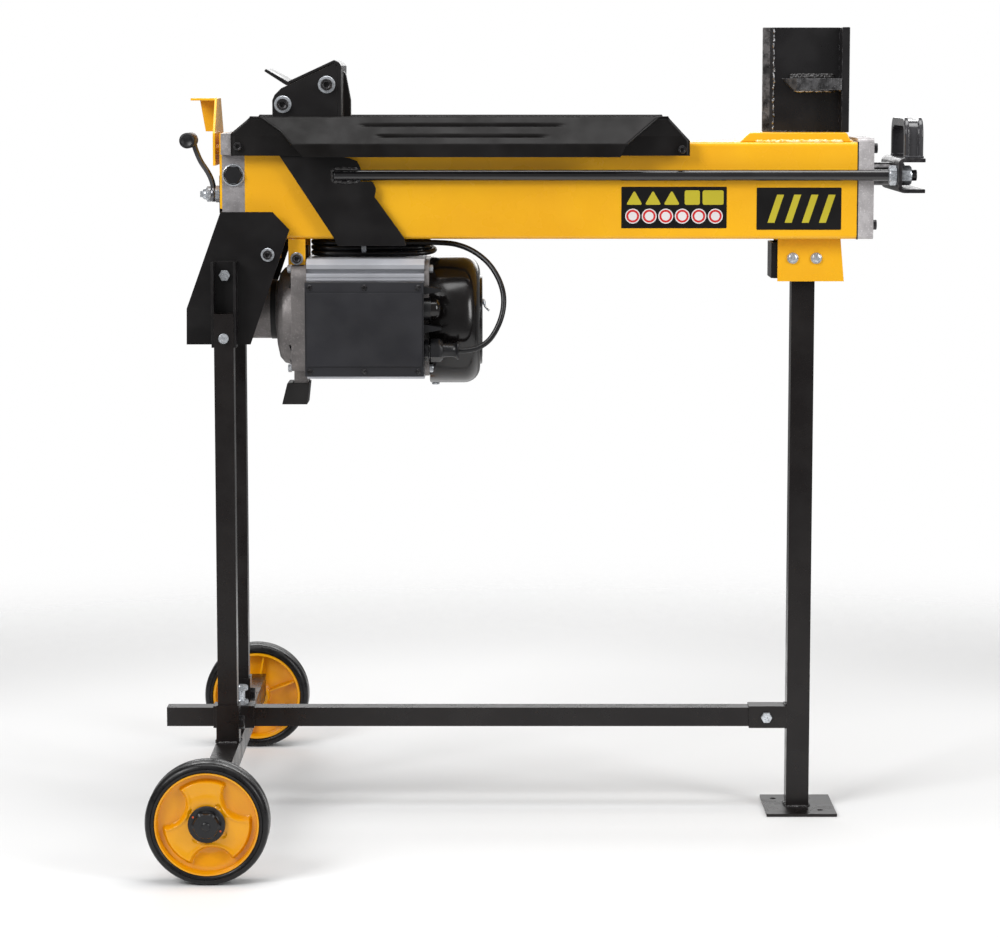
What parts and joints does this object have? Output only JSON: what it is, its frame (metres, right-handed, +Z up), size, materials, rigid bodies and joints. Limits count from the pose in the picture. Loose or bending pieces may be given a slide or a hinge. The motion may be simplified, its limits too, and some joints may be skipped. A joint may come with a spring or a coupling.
{
  "type": "log splitter",
  "caption": "Electric hydraulic log splitter: box beam with a ram carriage drawn towards a winged wedge, side log wings, motor and pump below, wheeled tube stand.",
  "frame": {"origin": "on the ground, below the middle of the machine's box (the free cord left out)", "axes": "+X from the pump end to the wedge end, along the ram's travel; +Y to the far side, across the wheels' track; +Z up"},
  "size_m": [0.981, 0.858, 1.028],
  "materials": {
    "yellow_paint": "semi gloss powder coat",
    "black_paint": "satin powder coat",
    "wedge_paint": "satin paint over weld beads",
    "cast_aluminium": "rough as cast",
    "fin_aluminium": "extruded, satin",
    "zinc": "zinc plated",
    "plain_steel": "machined",
    "chrome_rod": "hard chrome",
    "stack": "laminated stack with lacquered windings",
    "lid_plastic": "fine textured",
    "gloss_cover": "glossy moulding",
    "black_plastic": "moulded",
    "grip_rubber": "moulded grip",
    "tyre_rubber": "solid rubber",
    "rim_plastic": "moulded plastic",
    "seal_rubber": "smooth",
    "cord_rubber": "smooth cable sheath"
  },
  "bodies": {
    "frame": {"beam": "yellow_paint", "wedge_base": "yellow_paint", "wedge_blade": "wedge_paint", "wedge_side_wings": "wedge_paint", "end_cap": "cast_aluminium", "rod_seal": "seal_rubber", "tie_bolts": "black_paint", "pump_head": "cast_aluminium", "oil_plug": "black_plastic", "cylinder_tube": "plain_steel", "return_spring": "plain_steel", "log_wings": "black_paint", "cover_screws": "zinc", "leg_cover": "black_paint", "beam_brackets": "yellow_paint", "rear_legs": "black_paint", "axle_tube": "black_paint", "stand_bolts": "zinc", "wheel_bolts": "black_plastic", "tie_rail": "black_paint", "front_leg": "black_paint", "foot_plate": "black_paint", "motor_flange": "cast_aluminium", "motor_foot": "seal_rubber", "pump_body": "cast_aluminium", "stator_housing": "fin_aluminium", "stator_core": "stack", "rear_shield": "cast_aluminium", "shaft_bearings": "plain_steel", "terminal_box": "lid_plastic", "terminal_lid": "lid_plastic", "capacitor": "fin_aluminium", "switch_housing": "black_plastic", "cable_gland": "black_plastic", "fan_cover": "gloss_cover", "motor_fasteners": "zinc", "hand_guard": "yellow_paint", "cord": "cord_rubber", "cord_hank": "cord_rubber", "plug": "black_plastic"},
    "lever": {"lever_arm": "plain_steel", "lever_grip": "grip_rubber", "valve_spool": "zinc"},
    "button": {"switch_button": "black_plastic"},
    "motor_rotor": {"rotor": "plain_steel", "cooling_fan": "black_plastic", "drive_gear": "plain_steel"},
    "pump_idler": {"idler_gear": "plain_steel"},
    "ram": {"carriage_plates": "black_paint", "pusher": "black_paint", "ram_fasteners": "zinc", "pull_rods": "black_paint", "yoke": "black_paint", "carry_handle": "black_plastic", "piston_rod": "chrome_rod", "piston": "plain_steel"},
    "wheel_near": {"rim_near": "rim_plastic", "tyre_near": "tyre_rubber"},
    "wheel_far": {"rim_far": "rim_plastic", "tyre_far": "tyre_rubber"}
  },
  "joints": [
    {"name": "ram_slide", "type": "slide", "parent": "frame", "child": "ram", "axis": [1, 0, 0], "range_m": [0, 0.39], "stiffness_N_per_m": 400, "springref_m": -0.15, "deforming": ["return_spring"]},
    {"name": "lever_swing", "type": "hinge", "parent": "frame", "child": "lever", "pos_m": [-0.42, -0.038, 0.815], "axis": [1, 0, 0], "range_deg": [0, 30], "stiffness_Nm_per_rad": 1.5, "springref_deg": -17.19},
    {"name": "button_press", "type": "slide", "parent": "frame", "child": "button", "axis": [-1, 0, 0], "range_m": [0, 0.004], "stiffness_N_per_m": 600, "springref_m": -0.002},
    {"name": "rotor_spin", "type": "hinge", "parent": "frame", "child": "motor_rotor", "pos_m": [-0.2, 0, 0.656], "axis": [1, 0, 0], "continuous": true},
    {"name": "idler_spin", "type": "hinge", "parent": "frame", "child": "pump_idler", "pos_m": [-0.36, 0, 0.68], "axis": [1, 0, 0], "continuous": true},
    {"name": "wheel_near_spin", "type": "hinge", "parent": "frame", "child": "wheel_near", "pos_m": [-0.402, -0.399, 0.075], "axis": [0, 1, 0], "continuous": true},
    {"name": "wheel_far_spin", "type": "hinge", "parent": "frame", "child": "wheel_far", "pos_m": [-0.402, 0.399, 0.075], "axis": [0, 1, 0], "continuous": true}
  ],
  "couplings": [
    {"joint": "idler_spin", "follows": "rotor_spin", "ratio": -1}
  ]
}
